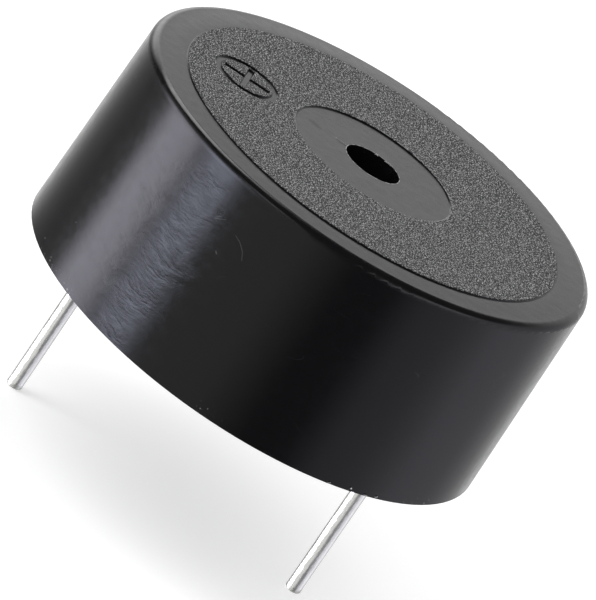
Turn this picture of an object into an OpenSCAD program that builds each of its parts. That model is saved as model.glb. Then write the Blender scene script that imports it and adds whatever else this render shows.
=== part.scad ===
// Self-driven piezo buzzer for mounting through the holes of a circuit board.
//
// Z = 0 is the seating plane, the flat rim at the open end of the housing.
// The sound hole faces +Z. Both pins lie on the X axis and point down, the
// positive one at -X. All sizes are in millimetres.

/* [Housing] */
// Diameter of the housing at its open end, where it is widest
body_d = 24; // [23.4:0.1:28]
// Height from the seating rim to the smooth parts of the top
body_h = 10.3; // [9.8:0.1:13]
// Draft of the side wall, in degrees
side_draft = 1.05; // [0.5:0.05:1.5]
// Radius of the rounded edge between side and top
edge_r = 0.4; // [0.2:0.05:0.6]
// Thickness of the top wall
top_t = 1.2; // [0.8:0.1:1.5]
// Diameter of the sound hole
hole_d = 2.85; // [1.5:0.05:4]
// Width of the seating rim, which is the wall at the open end
rim_w = 0.95; // [0.8:0.05:1.1]
// Width of the step that the circuit board is pushed up against
seat_w = 0.4; // [0.3:0.05:0.6]
// Width of the ledge that carries the edge of the diaphragm
ledge_w = 1; // [0.8:0.05:1.4]
// Height of the sound chamber between the diaphragm and the top wall
chamber_h = 1.5; // [1.2:0.1:1.8]

/* [Top face] */
// Width of the smooth border around the textured band
border_w = 1.8; // [1.2:0.1:2.4]
// Diameter of the smooth disc around the sound hole
disc_d = 8.3; // [6:0.1:9]
// Height of the textured band above the smooth parts
band_rise = 0.08; // [0.05:0.01:0.12]
// Radius of the band's upper edges
band_lip_r = 0.1; // [0.05:0.01:0.12]
// Lean of the band's edges and of the mark's sides from the vertical, in degrees
band_lean = 40; // [25:1:45]
// Outer diameter of the ring of the polarity mark
mark_d = 3.35; // [2.6:0.05:4]
// Width of the lines of the polarity mark
mark_line_w = 0.3; // [0.2:0.02:0.4]
// Length of the arms of the polarity mark's cross, from end to end
mark_cross = 2.4; // [1.4:0.05:2.4]
// Distance of the polarity mark from the middle of the band, inwards
mark_inset = 0.12; // [0:0.02:0.3]
// Turn of the polarity mark from the line of the pins, in degrees
mark_turn = 6.4; // [-15:0.2:15]

/* [Diaphragm] */
// Gap around the edge of the brass plate
plate_gap = 0.15; // [0.1:0.01:0.25]
// Thickness of the brass plate
plate_t = 0.2; // [0.15:0.01:0.25]
// Diameter of the ceramic disc
ceramic_d = 14; // [13:0.1:15]
// Thickness of the ceramic disc
ceramic_t = 0.2; // [0.15:0.01:0.25]
// Thickness of the silver electrodes
silver_t = 0.03; // [0.02:0.01:0.05]
// Bare edge of the ceramic outside the silver
silver_margin = 0.5; // [0.3:0.05:0.8]
// Width of the tongue of the feedback electrode
tongue_w = 2.4; // [2.2:0.1:3]
// Bare gap between the feedback electrode and the main one
tongue_gap = 0.5; // [0.3:0.05:0.8]
// Width of the silicone bead under the edge of the plate
bead_w = 0.9; // [0.6:0.05:1]

/* [Circuit board] */
// Thickness of the circuit board
board_t = 1; // [0.8:0.1:1.2]
// Gap around the edge of the circuit board
board_gap = 0.1; // [0.05:0.01:0.2]
// Thickness of the copper on the board
track_t = 0.07; // [0.035:0.005:0.1]
// Width of the copper tracks
track_w = 0.5; // [0.4:0.05:0.6]
// Length of the chip resistors and of the chip capacitor
chip_l = 2; // [1.6:0.1:2.2]
// Width of the chip resistors and of the chip capacitor
chip_w = 1.25; // [0.8:0.05:1.4]
// Height of the chip resistors
resistor_h = 0.5; // [0.4:0.05:0.6]
// Height of the chip capacitor
capacitor_h = 0.9; // [0.6:0.1:1.2]
// Diameter of the flanges of the choke coil
coil_d = 4.8; // [4:0.1:5]
// Height of the choke coil
coil_h = 3.4; // [2.8:0.1:3.6]
// Diameter of the wires between the diaphragm and the board
wire_d = 0.6; // [0.4:0.05:0.7]

/* [Pins and seal] */
// Distance between the pins
pin_pitch = 16; // [15:0.1:16.6]
// Diameter of the pins
pin_d = 0.8; // [0.6:0.05:0.9]
// Length of the pins below the seating plane
pin_len = 8.9; // [3:0.1:14]
// Diameter of the collar of the pins, which butts against the board
collar_d = 1.5; // [1.3:0.1:1.8]
// Gap around a pin in its hole in the board
pin_gap = 0.05; // [0.03:0.01:0.1]
// Depth of the sealing resin inside the seating rim
seal_recess = 0.5; // [0.3:0.05:0.8]
// Thickness of the sealing resin under the board
seal_t = 1.1; // [0.8:0.05:1.3]
// Height to which the resin creeps along the wall
seal_creep = 0.3; // [0.2:0.02:0.4]

/* [Hidden] */

$fn = 96;
cut = 0.5;      // how far a cutting tool reaches past the face it opens
small_fn = 32;  // facets of small round parts

// Radii of the housing, from the side wall inwards
body_r = body_d / 2;
top_r = body_r - body_h * tan(side_draft);
socket_r = body_r - rim_w;
bore_r = socket_r - seat_w;
chamber_r = bore_r - ledge_w;
band_r = top_r - border_w;
disc_r = disc_d / 2;
mark_x = (band_r + disc_r) / 2 - mark_inset;
mark_run = band_rise * tan(band_lean);  // how far the mark's sides lean in over their height

// Heights, from the seating plane up
board_z = seal_recess + seal_t;
board_top = board_z + board_t;
track_z = board_top + track_t;
ledge_z = body_h - top_t - chamber_h;
plate_z = ledge_z - plate_t;
ceramic_z = plate_z - ceramic_t;
silver_z = ceramic_z - silver_t;

// Diaphragm
plate_r = bore_r - plate_gap;
ceramic_r = ceramic_d / 2;
silver_r = ceramic_r - silver_margin;
tongue_r = tongue_w / 2;
tongue_reach = 2.6;  // from the edge of the silver to the tongue's round end
bead_edge_t = 0.08;  // thickness of the bead where it thins out
bead_in_r = bore_r - bead_w;

// Wires: each drops from the diaphragm to the board in a plane through the axis
wire_r = wire_d / 2;
wire_film = 0.05;    // solder between a wire's end and the face it is soldered to
wire_bend_r = 0.7;   // radius of the wires' bends, at their centre line
wire_reach = 2.9;    // from one end of a wire to the other, seen from above
feedback_turn = 235;
main_turn = 270;
plate_turn = 305;
tongue_dot_in = 1.7;  // from the silver's edge to the middle of the tongue's dot
main_dot_in = 2.1;    // the same for the main electrode's dot
tongue_dot_r = silver_r - tongue_dot_in;
main_dot_r = silver_r - main_dot_in;
plate_dot_r = (ceramic_r + bead_in_r) / 2;
dot_r = 0.95;        // radius of a solder dot
dot_cover = 0.1;     // solder over a wire's end
dot_h = wire_d + 2 * wire_film + dot_cover;
wire_pad_r = dot_r + 0.15;

// Pins
pin_r = pin_d / 2;
pin_tip_r = 0.15;    // radius of the rounded edge of a pin's tip
pin_stub = 0.7;      // what stands above the board
pin_fillet_h = 0.55;
pin_fillet_top = 0.12;  // solder left round the pin at the top of its cone
pin_pad_w = 0.7;         // width of the copper ring round a pin
pin_pad_r = pin_r + pin_pad_w;
pad_edge = 0.1;         // bare copper around a solder joint
collar_r = collar_d / 2;
collar_proud = 0.1;  // what the collar shows below the resin
collar_z = seal_recess - collar_proud;
positive_at = [-pin_pitch / 2, 0];
negative_at = [pin_pitch / 2, 0];

// Transistor, in a flat three-lead moulding
transistor_at = [1.6, -1.2];
transistor_l = 2.9;
transistor_w = 1.3;
transistor_h = 0.95;
transistor_foot = 0.1;  // gap under the moulding
lead_pitch = 1.9;       // between the two leads on one side
lead_w = 0.4;
lead_t = 0.12;
lead_out = 0.55;        // reach of a lead past the moulding
lead_knee = 0.3;        // where a lead turns down, from the moulding

// Choke coil
coil_at = [-0.5, 5];
coil_r = coil_d / 2;
coil_flange_t = 0.7;
coil_waist_r = 1.1;
coil_wound_r = coil_r - 0.3;
coil_wire_r = 0.15;
coil_wire_bend_r = 0.3;
coil_pad_out = 1;        // from the coil's flange to the middle of its pad
coil_pad_reach = coil_r + coil_pad_out;

// Places of the chips and pads on the board
limit_at = [-6.1, 3];
bias_at = [-2.4, 0.9];
feedback_at = [-2.6, -3.2];
capacitor_at = [0, 8.6];
chip_cap = 0.4;         // length of the metal at a chip's ends
pad_l = 1.1;
chip_pad_x = chip_l / 2;
positive_corner = [positive_at.x, 1.6];
supply_corner = [-3.6, 7.9];
ground_corner = [5.6, 6.6];
output_corner = [1.6, -4];
base_at = transistor_at + [-lead_pitch / 2, -lead_foot_y()];
emitter_at = transistor_at + [lead_pitch / 2, -lead_foot_y()];
collector_at = transistor_at + [0, lead_foot_y()];
main_pad_at = polar(main_dot_r + wire_reach, main_turn);
feedback_pad_at = polar(tongue_dot_r + wire_reach, feedback_turn);
plate_pad_at = polar(plate_dot_r - wire_reach, plate_turn);
coil_left_at = coil_at - [coil_pad_reach, 0];
coil_right_at = coil_at + [coil_pad_reach, 0];
coil_dot_r = 0.5;
coil_dot_h = 0.5;
lead_dot_r = 0.28;
lead_dot_h = 2 * lead_t;
wedge_share = 0.7;      // how far solder climbs a chip's end, of its height

function polar(r, turn) = [r * cos(turn), r * sin(turn)];
// Distance of a transistor lead's foot from the middle of the moulding
function lead_foot_y() = transistor_w / 2 + lead_out - lead_t;

// ---------------------------------------------------------------- housing

// Half section of the outside: tapered side, rounded edge and raised band
module housing_section() {
    edge_z = body_h - edge_r;
    edge_x = body_r - (edge_r + edge_z * sin(side_draft)) / cos(side_draft);
    tangent = [edge_x + edge_r * cos(side_draft), edge_z + edge_r * sin(side_draft)];
    polygon([[0, 0], [body_r, 0], tangent, [edge_x, edge_z], [edge_x, body_h], [0, body_h]]);
    translate([edge_x, edge_z]) circle(edge_r);
    band_section();
}

// The raised band: both edges lean in from their foot and are rounded at the top
module band_section() {
    lip_z = body_h + band_rise - band_lip_r;
    lip_in = (band_lip_r + (band_rise - band_lip_r) * sin(band_lean)) / cos(band_lean);
    side = band_lip_r * [cos(band_lean), sin(band_lean)];
    inner_x = disc_r + lip_in;
    outer_x = band_r - lip_in;
    polygon([
        [disc_r, body_h - top_t / 2], [band_r, body_h - top_t / 2], [band_r, body_h],
        [outer_x + side.x, lip_z + side.y], [outer_x, lip_z], [outer_x, body_h + band_rise],
        [inner_x, body_h + band_rise], [inner_x, lip_z], [inner_x - side.x, lip_z + side.y],
        [disc_r, body_h],
    ]);
    for (x = [inner_x, outer_x]) translate([x, lip_z]) circle(band_lip_r, $fn = small_fn);
}

// Section of a groove of the mark, from the smooth level up, as wide as w at mid height
module groove_section(w) {
    top = band_rise + cut;
    foot_w = w - mark_run;
    top_w = foot_w + 2 * top * tan(band_lean);
    polygon([[-foot_w / 2, 0], [foot_w / 2, 0], [top_w / 2, top], [-top_w / 2, top]]);
}

// Straight groove along X with four leaning sides
module groove_bar() {
    intersection() {
        rotate([90, 0, 0]) linear_extrude(2 * mark_cross, center = true) groove_section(mark_cross);
        rotate([90, 0, 90]) linear_extrude(2 * mark_cross, center = true) groove_section(mark_line_w);
    }
}

// A ring and a cross, cut through the band down to the smooth level
module mark_grooves() {
    rotate_extrude() translate([(mark_d - mark_line_w) / 2, 0]) groove_section(mark_line_w);
    for (turn = [0, 90]) rotate(turn) groove_bar();
}

module housing() {
    color([0.11, 0.11, 0.12]) difference() {
        rotate_extrude() housing_section();
        translate([0, 0, -cut]) cylinder(r = socket_r, h = board_top + cut);
        cylinder(r = bore_r, h = ledge_z);
        cylinder(r = chamber_r, h = body_h - top_t);
        cylinder(d = hole_d, h = body_h + cut);
        rotate([0, 0, 180 + mark_turn]) translate([mark_x, 0, body_h]) mark_grooves();
    }
}

// -------------------------------------------------------------- diaphragm

module diaphragm_plate() {
    color([0.80, 0.64, 0.33]) translate([0, 0, plate_z]) cylinder(r = plate_r, h = plate_t);
}

module piezo_disc() {
    color([0.78, 0.77, 0.70]) translate([0, 0, ceramic_z]) cylinder(r = ceramic_r, h = ceramic_t);
}

// Tongue with a round inner end, widened all round by grow
module tongue_outline(grow) {
    end_x = silver_r - tongue_reach;
    rotate(feedback_turn) {
        translate([end_x, 0]) circle(tongue_r + grow, $fn = small_fn);
        translate([end_x, -tongue_r - grow]) square([tongue_reach * 2, 2 * (tongue_r + grow)]);
    }
}

module main_electrode() {
    color([0.86, 0.86, 0.84]) translate([0, 0, silver_z]) linear_extrude(silver_t) difference() {
        circle(silver_r);
        tongue_outline(tongue_gap);
    }
}

module feedback_electrode() {
    color([0.86, 0.86, 0.84]) translate([0, 0, silver_z]) linear_extrude(silver_t) intersection() {
        circle(silver_r);
        tongue_outline(0);
    }
}

// Soft adhesive that fills the gap round the plate and the corner below it
module silicone_bead() {
    color([0.90, 0.90, 0.88]) rotate_extrude() {
        translate([plate_r, plate_z]) square([plate_gap, plate_t]);
        difference() {
            translate([bead_in_r, plate_z - bead_w]) square(bead_w);
            translate([bead_in_r, plate_z - bead_w]) circle(bead_w - bead_edge_t);
        }
    }
}

// ------------------------------------------------------------------ wires

// Quarter bend of a round wire of radius r, starting at the angle from
module bend(r, bend_r, from) {
    rotate([90, 0, 0]) rotate([0, 0, from])
        rotate_extrude(angle = 90) translate([bend_r, 0]) circle(r, $fn = small_fn);
}

// A wire that runs along the board, climbs by rise and runs on above, reach in all
module stepped_wire(reach, rise) {
    stub = reach / 2 - wire_bend_r;
    rotate([0, 90, 0]) cylinder(r = wire_r, h = stub, $fn = small_fn);
    translate([stub, 0, wire_bend_r]) bend(wire_r, wire_bend_r, -90);
    translate([stub + wire_bend_r, 0, wire_bend_r])
        cylinder(r = wire_r, h = rise - 2 * wire_bend_r, $fn = small_fn);
    translate([stub + 2 * wire_bend_r, 0, rise - wire_bend_r]) bend(wire_r, wire_bend_r, 90);
    translate([stub + 2 * wire_bend_r, 0, rise])
        rotate([0, 90, 0]) cylinder(r = wire_r, h = stub, $fn = small_fn);
}

// A wire in the plane at turn, from its pad on the board to its dot under face_z.
// The dot lies inwards of the pad when inward is true.
module lead_wire(turn, dot_at_r, face_z, inward) {
    low_z = track_z + wire_film + wire_r;
    high_z = face_z - wire_film - wire_r;
    pad_at_r = inward ? dot_at_r + wire_reach : dot_at_r - wire_reach;
    rotate([0, 0, turn]) translate([pad_at_r, 0, low_z]) rotate([0, 0, inward ? 180 : 0])
        stepped_wire(wire_reach, high_z - low_z);
}

module plate_wire() {
    color([0.12, 0.12, 0.13]) lead_wire(plate_turn, plate_dot_r, plate_z, false);
}

module main_wire() {
    color([0.72, 0.10, 0.08]) lead_wire(main_turn, main_dot_r, silver_z, true);
}

module feedback_wire() {
    color([0.12, 0.25, 0.62]) lead_wire(feedback_turn, tongue_dot_r, silver_z, true);
}

// Low round drop of solder, of radius r and height h, standing on Z = 0
module drop(r, h) {
    ball_r = (r * r + h * h) / (2 * h);
    rotate_extrude($fn = small_fn) intersection() {
        translate([0, h - ball_r]) circle(ball_r);
        square([r, h]);
    }
}

module solder_color() {
    color([0.72, 0.73, 0.74]) children();
}

module diaphragm_solder() {
    solder_color() difference() {
        union() {
            translate([each polar(plate_dot_r, plate_turn), plate_z]) mirror([0, 0, 1]) drop(dot_r, dot_h);
            translate([each polar(main_dot_r, main_turn), silver_z]) mirror([0, 0, 1]) drop(dot_r, dot_h);
            translate([each polar(tongue_dot_r, feedback_turn), silver_z])
                mirror([0, 0, 1]) drop(dot_r, dot_h);
        }
        plate_wire();
        main_wire();
        feedback_wire();
    }
}

module wire_solder() {
    solder_color() difference() {
        for (at = [plate_pad_at, main_pad_at, feedback_pad_at])
            translate([each at, track_z]) drop(dot_r, dot_h);
        plate_wire();
        main_wire();
        feedback_wire();
    }
}

// ---------------------------------------------------------- circuit board

module circuit_board() {
    color([0.72, 0.55, 0.28]) difference() {
        translate([0, 0, board_z]) cylinder(r = socket_r - board_gap, h = board_t);
        for (at = [positive_at, negative_at])
            translate([each at, board_z - cut])
                cylinder(r = pin_r + pin_gap, h = board_t + 2 * cut, $fn = small_fn);
    }
}

// Track of straight stretches with round corners, through all the points
module track(points) {
    for (i = [0:len(points) - 2]) {
        step = points[i + 1] - points[i];
        translate(points[i]) rotate(atan2(step.y, step.x)) translate([0, -track_w / 2])
            square([norm(step), track_w]);
    }
    for (p = points) translate(p) circle(d = track_w, $fn = small_fn);
}

module chip_pads(at) {
    for (side = [-1, 1])
        translate(at + [side * chip_pad_x, 0]) square([pad_l, chip_w], center = true);
}

function left_pad(at) = at - [chip_pad_x, 0];
function right_pad(at) = at + [chip_pad_x, 0];

module board_tracks() {
    color([0.80, 0.48, 0.28]) translate([0, 0, board_top]) linear_extrude(track_t) difference() {
        union() {
            for (at = [positive_at, negative_at]) translate(at) circle(pin_pad_r);
            for (at = [main_pad_at, feedback_pad_at, plate_pad_at]) translate(at) circle(wire_pad_r);
            for (at = [coil_left_at, coil_right_at]) translate(at) circle(coil_dot_r + pad_edge);
            for (at = [limit_at, bias_at, feedback_at, capacitor_at]) chip_pads(at);
            for (at = [base_at, emitter_at, collector_at])
                translate(at) square([lead_w + 2 * pad_edge, pad_l], center = true);
            track([positive_at, positive_corner, left_pad(limit_at)]);
            track([right_pad(limit_at), coil_left_at, supply_corner, left_pad(capacitor_at)]);
            track([right_pad(limit_at), left_pad(bias_at)]);
            track([right_pad(capacitor_at), ground_corner, negative_at, plate_pad_at, emitter_at]);
            track([coil_right_at, collector_at, output_corner, main_pad_at]);
            track([right_pad(bias_at), right_pad(feedback_at), base_at]);
            track([left_pad(feedback_at), feedback_pad_at]);
        }
        for (at = [positive_at, negative_at])
            translate(at) circle(pin_r + pin_gap, $fn = small_fn);
    }
}

// Ceramic chip with its two metal ends a little proud of the middle
module chip(at, h) {
    end_step = 0.03;
    translate([at.x, at.y, track_z]) {
        translate([-chip_l / 2 + chip_cap / 2, -chip_w / 2 + end_step, end_step])
            cube([chip_l - chip_cap, chip_w - 2 * end_step, h - 2 * end_step]);
        for (side = [-1, 1])
            translate([side * (chip_l - chip_cap) / 2 - chip_cap / 2, -chip_w / 2, 0])
                cube([chip_cap, chip_w, h]);
    }
}

module bias_resistor() {
    color([0.10, 0.10, 0.11]) chip(bias_at, resistor_h);
}

module feedback_resistor() {
    color([0.10, 0.10, 0.11]) chip(feedback_at, resistor_h);
}

module limit_resistor() {
    color([0.10, 0.10, 0.11]) chip(limit_at, resistor_h);
}

module supply_capacitor() {
    color([0.62, 0.47, 0.33]) chip(capacitor_at, capacitor_h);
}

// Moulding with sides that slope in above and below the leads
module transistor_body() {
    slope = 0.08;
    mid_z = transistor_h / 2;
    outline = [
        [-transistor_w / 2 + slope, 0], [transistor_w / 2 - slope, 0], [transistor_w / 2, mid_z],
        [transistor_w / 2 - slope, transistor_h], [-transistor_w / 2 + slope, transistor_h],
        [-transistor_w / 2, mid_z]
    ];
    color([0.13, 0.13, 0.14])
        translate([transistor_at.x - transistor_l / 2, transistor_at.y, track_z + transistor_foot])
            rotate([90, 0, 90]) linear_extrude(transistor_l) polygon(outline);
}

// One lead that leaves the moulding at Y = 0, turns down and ends in a foot
module gull_lead() {
    mid_z = transistor_foot + transistor_h / 2;
    half_t = lead_t / 2;
    outline = [
        [0, mid_z - half_t], [lead_knee - lead_t, mid_z - half_t], [lead_knee - lead_t, 0],
        [lead_out, 0], [lead_out, lead_t], [lead_knee, lead_t], [lead_knee, mid_z + half_t],
        [0, mid_z + half_t]
    ];
    translate([-lead_w / 2, 0, 0]) rotate([90, 0, 90]) linear_extrude(lead_w) polygon(outline);
}

module transistor_leads() {
    color([0.75, 0.75, 0.76]) translate([each transistor_at, track_z]) difference() {
        union() {
            translate([0, transistor_w / 2 - lead_t, 0]) gull_lead();
            for (x = [-lead_pitch / 2, lead_pitch / 2])
                translate([x, -transistor_w / 2 + lead_t, 0]) rotate([0, 0, 180]) gull_lead();
        }
        translate([-transistor_at.x, -transistor_at.y, -track_z]) transistor_body();
    }
}

// ------------------------------------------------------------- choke coil

module coil_core() {
    color([0.20, 0.19, 0.20]) translate([each coil_at, board_top]) {
        cylinder(r = coil_r, h = coil_flange_t);
        cylinder(r = coil_waist_r, h = coil_h);
        translate([0, 0, coil_h - coil_flange_t]) cylinder(r = coil_r, h = coil_flange_t);
    }
}

module coil_winding() {
    color([0.66, 0.33, 0.16]) translate([each coil_at, board_top + coil_flange_t]) difference() {
        cylinder(r = coil_wound_r, h = coil_h - 2 * coil_flange_t);
        translate([0, 0, -cut]) cylinder(r = coil_waist_r, h = coil_h);
    }
}

// The two ends of the winding, each led out over the flange and down to its pad
module coil_leads() {
    out_z = board_top + coil_flange_t + 2 * coil_wire_r;
    foot_z = track_z + wire_film;
    straight = coil_pad_reach - coil_wire_bend_r - coil_wound_r;
    color([0.66, 0.33, 0.16]) for (turn = [0, 180])
        translate([each coil_at, 0]) rotate([0, 0, turn]) {
            translate([coil_wound_r, 0, out_z]) rotate([0, 90, 0])
                cylinder(r = coil_wire_r, h = straight, $fn = small_fn);
            translate([coil_pad_reach - coil_wire_bend_r, 0, out_z - coil_wire_bend_r])
                bend(coil_wire_r, coil_wire_bend_r, 0);
            translate([coil_pad_reach, 0, foot_z])
                cylinder(r = coil_wire_r, h = out_z - coil_wire_bend_r - foot_z, $fn = small_fn);
        }
}

// ----------------------------------------------------------------- solder

// Wedge of solder against the end of a chip, which it climbs by h
module end_wedge(h) {
    run = 0.35;
    low_edge = 0.05;
    top_edge = 0.08;
    translate([0, chip_w / 2, 0]) rotate([90, 0, 0]) linear_extrude(chip_w)
        polygon([[0, 0], [run, 0], [run, low_edge], [top_edge, h], [0, h]]);
}

// Wedges at both ends of a chip of height h
module chip_wedges(at, h) {
    climb = wedge_share * h;
    translate([at.x + chip_l / 2, at.y, track_z]) end_wedge(climb);
    translate([at.x - chip_l / 2, at.y, track_z]) rotate([0, 0, 180]) end_wedge(climb);
}

module component_solder() {
    solder_color() difference() {
        union() {
            for (at = [bias_at, feedback_at, limit_at]) chip_wedges(at, resistor_h);
            chip_wedges(capacitor_at, capacitor_h);
            for (at = [base_at, emitter_at, collector_at])
                translate([each at, track_z]) drop(lead_dot_r, lead_dot_h);
            for (at = [coil_left_at, coil_right_at])
                translate([each at, track_z]) drop(coil_dot_r, coil_dot_h);
        }
        transistor_leads();
        coil_leads();
    }
}

// Concave cone of solder round a pin, on the copper
module pin_fillet() {
    difference() {
        cylinder(r1 = pin_pad_r - pad_edge, r2 = pin_r + pin_fillet_top, h = pin_fillet_h, $fn = small_fn);
        translate([0, 0, -cut]) cylinder(r = pin_r, h = pin_fillet_h + 2 * cut, $fn = small_fn);
    }
}

module pin_solder() {
    solder_color() for (at = [positive_at, negative_at]) translate([each at, track_z]) pin_fillet();
}

// ---------------------------------------------------------- pins and seal

// Tinned round pin: rounded tip, plain shank, collar under the board, stub above it
module pin() {
    tip_z = -pin_len;
    color([0.80, 0.80, 0.79]) rotate_extrude() {
        translate([0, tip_z]) square([pin_r - pin_tip_r, pin_tip_r]);
        translate([0, tip_z + pin_tip_r]) square([pin_r, board_top + pin_stub - tip_z - pin_tip_r]);
        intersection() {
            translate([pin_r - pin_tip_r, tip_z + pin_tip_r]) circle(pin_tip_r, $fn = small_fn);
            translate([0, tip_z]) square([pin_r, pin_tip_r]);
        }
        translate([0, collar_z]) square([collar_r, board_z - collar_z]);
    }
}

module positive_pin() {
    translate([each positive_at, 0]) pin();
}

module negative_pin() {
    translate([each negative_at, 0]) pin();
}

// Resin poured over the back of the board, inside the rim and round the collars.
// Its surface is hollow where it meets the wall.
module back_seal() {
    creep_edge_t = 0.04;
    color([0.09, 0.09, 0.10]) difference() {
        rotate_extrude() {
            translate([0, seal_recess]) square([socket_r, seal_t]);
            difference() {
                translate([socket_r - seal_creep, seal_recess - seal_creep]) square(seal_creep);
                translate([socket_r - seal_creep, seal_recess - seal_creep])
                    circle(seal_creep - creep_edge_t, $fn = small_fn);
            }
        }
        for (at = [positive_at, negative_at])
            translate([each at, seal_recess - cut]) cylinder(r = collar_r, h = seal_t + 2 * cut);
    }
}

housing();
diaphragm_plate();
piezo_disc();
main_electrode();
feedback_electrode();
silicone_bead();
diaphragm_solder();
plate_wire();
main_wire();
feedback_wire();
circuit_board();
board_tracks();
transistor_body();
transistor_leads();
bias_resistor();
feedback_resistor();
limit_resistor();
supply_capacitor();
coil_core();
coil_winding();
coil_leads();
component_solder();
wire_solder();
pin_solder();
positive_pin();
negative_pin();
back_seal();
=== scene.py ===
# %% [markdown]
# # A round piezo buzzer
# The buzzer is a black moulded cup, sealed with resin at its open end, with two tinned
# wire pins. A brass diaphragm sounds inside it, driven by a small circuit. The CAD model
# holds every piece at its real size. This lesson gives each piece its finish, adds the
# thin flash that moulding leaves, and lights the part as small products are lit.

# %% Load the frame
import math
import random

import bmesh
import bpy
from mathutils import Matrix, Vector


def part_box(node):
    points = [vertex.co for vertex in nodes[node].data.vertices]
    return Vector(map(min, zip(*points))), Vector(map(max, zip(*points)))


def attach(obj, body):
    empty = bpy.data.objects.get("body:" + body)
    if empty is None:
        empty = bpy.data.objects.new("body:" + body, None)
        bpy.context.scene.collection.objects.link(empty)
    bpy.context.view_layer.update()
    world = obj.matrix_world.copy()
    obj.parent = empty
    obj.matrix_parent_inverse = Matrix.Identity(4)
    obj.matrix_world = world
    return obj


MM = 0.001
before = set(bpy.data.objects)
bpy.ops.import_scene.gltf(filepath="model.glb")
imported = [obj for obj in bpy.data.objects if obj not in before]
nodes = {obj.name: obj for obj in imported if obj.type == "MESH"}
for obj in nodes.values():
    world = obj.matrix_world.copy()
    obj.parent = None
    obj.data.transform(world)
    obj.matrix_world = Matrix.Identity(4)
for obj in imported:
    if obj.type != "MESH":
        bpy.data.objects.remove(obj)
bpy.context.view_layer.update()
print("pieces in the frame:", len(nodes))

# %% [markdown]
# ## Camera
# A small part is shown with a long lens from well back, so that its circles stay true
# ellipses. The camera looks a little down on the part and is rolled, which makes the
# upright part lean in the picture. The lens shift stays at zero: the camera itself is
# moved a little to the side and down, so it frames the part without any shift.

# %% Place the camera
camera_azimuth = math.radians(-84.82)
camera_elevation = math.radians(20.27)
camera_roll = math.radians(34.28)
camera_distance = 648.3 * MM
camera_side = -0.58 * MM
camera_up = -2.04 * MM
aim = Vector((0, 0, 4.92 * MM))
picture_side = 600
focal_pixels = 14138

back = Vector((
    math.cos(camera_elevation) * math.cos(camera_azimuth),
    math.cos(camera_elevation) * math.sin(camera_azimuth),
    math.sin(camera_elevation),
))
level = Vector((0, 0, 1)).cross(back).normalized()
upright = back.cross(level)
right = math.cos(camera_roll) * level + math.sin(camera_roll) * upright
up = math.cos(camera_roll) * upright - math.sin(camera_roll) * level

camera = bpy.data.objects.new("camera", bpy.data.cameras.new("camera"))
bpy.context.scene.collection.objects.link(camera)
camera.data.sensor_width = 36
camera.data.lens = camera.data.sensor_width * focal_pixels / picture_side
camera.data.clip_end = 10
camera_place = aim + back * camera_distance + right * camera_side + up * camera_up
camera_turn = Matrix((right, up, back)).transposed().to_4x4()
camera.matrix_world = Matrix.Translation(camera_place) @ camera_turn
bpy.context.scene.camera = camera
bpy.context.scene.view_settings.view_transform = "Standard"
print("lens, mm:", round(camera.data.lens))

# %% [markdown]
# ## Helpers for materials
# Every finish here is drawn by nodes, from the place of a point on the piece. A few
# small helpers keep the node trees short. The first adds a node and fills its inputs,
# the next ones do sums and turn a value into a soft step or a band.

# %% Node helpers
def node(tree, kind, inputs, **settings):
    """Adds a shader node. Each input takes a number, a colour or another node's output."""
    made = tree.nodes.new("ShaderNode" + kind)
    for name, value in settings.items():
        setattr(made, name, value)
    for key, value in inputs.items():
        if isinstance(value, bpy.types.NodeSocket):
            tree.links.new(value, made.inputs[key])
        else:
            made.inputs[key].default_value = value
    return made


def calc(tree, operation, *values):
    """One sum, such as ADD, of numbers or outputs."""
    return node(tree, "Math", dict(enumerate(values)), operation=operation).outputs[0]


def both(tree, *masks):
    """The product of some masks: 1 only where all of them are 1."""
    result = masks[0]
    for mask in masks[1:]:
        result = calc(tree, "MULTIPLY", result, mask)
    return result


def step(tree, value, start, end, low=0.0, high=1.0):
    """Goes smoothly from low to high while value goes from start to end."""
    return node(tree, "MapRange", {
        "Value": value, "From Min": start, "From Max": end, "To Min": low, "To Max": high,
    }, interpolation_type="SMOOTHSTEP").outputs[0]


def band(tree, value, start, end, edge):
    """1 between start and end, and 0 outside them, with soft edges."""
    opening = step(tree, value, start - edge, start + edge)
    closing = step(tree, value, end - edge, end + edge, 1.0, 0.0)
    return both(tree, opening, closing)


print("node helpers are ready")

# %% [markdown]
# Noise is what makes a surface look made and used. Its size is given in millimetres, so
# that grain, waves and stains come out as large as the real ones. Space can be squeezed
# in one direction first, which draws the noise out across it into streaks. Round spots
# come from cells, and an oval round one place bounds a single mark.

# %% Noise, streaks and spots
def noise(tree, place, size, detail=2.0, roughness=0.5):
    """Noise with blotches of about size, from 0 to 1."""
    return node(tree, "TexNoise", {
        "Vector": place, "Scale": 1 / size, "Detail": detail, "Roughness": roughness,
    }).outputs[0]


def squeezed(tree, place, x, y, z):
    """The place with each axis multiplied, which makes a pattern smaller along it."""
    return node(tree, "VectorMath", {0: place, 1: (x, y, z)}, operation="MULTIPLY").outputs[0]


def specks(tree, place, spacing, size, share):
    """Round specks of about size: one in each cell of spacing, kept in a share of them."""
    cells = node(tree, "TexVoronoi", {"Vector": place, "Scale": 1 / spacing})
    reach = size / 2 / spacing
    dot = step(tree, cells.outputs["Distance"], reach * 0.6, reach, 1.0, 0.0)
    chance = node(tree, "SeparateColor", {0: cells.outputs["Color"]}).outputs[0]
    return both(tree, dot, step(tree, chance, share - 0.01, share + 0.01, 1.0, 0.0))


def length(tree, vector):
    """Length of a vector."""
    return node(tree, "VectorMath", {0: vector}, operation="LENGTH").outputs["Value"]


def axis_distance(tree, place):
    """Distance from the axis of the part, in millimetres."""
    return length(tree, squeezed(tree, place, 1, 1, 0))


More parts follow.
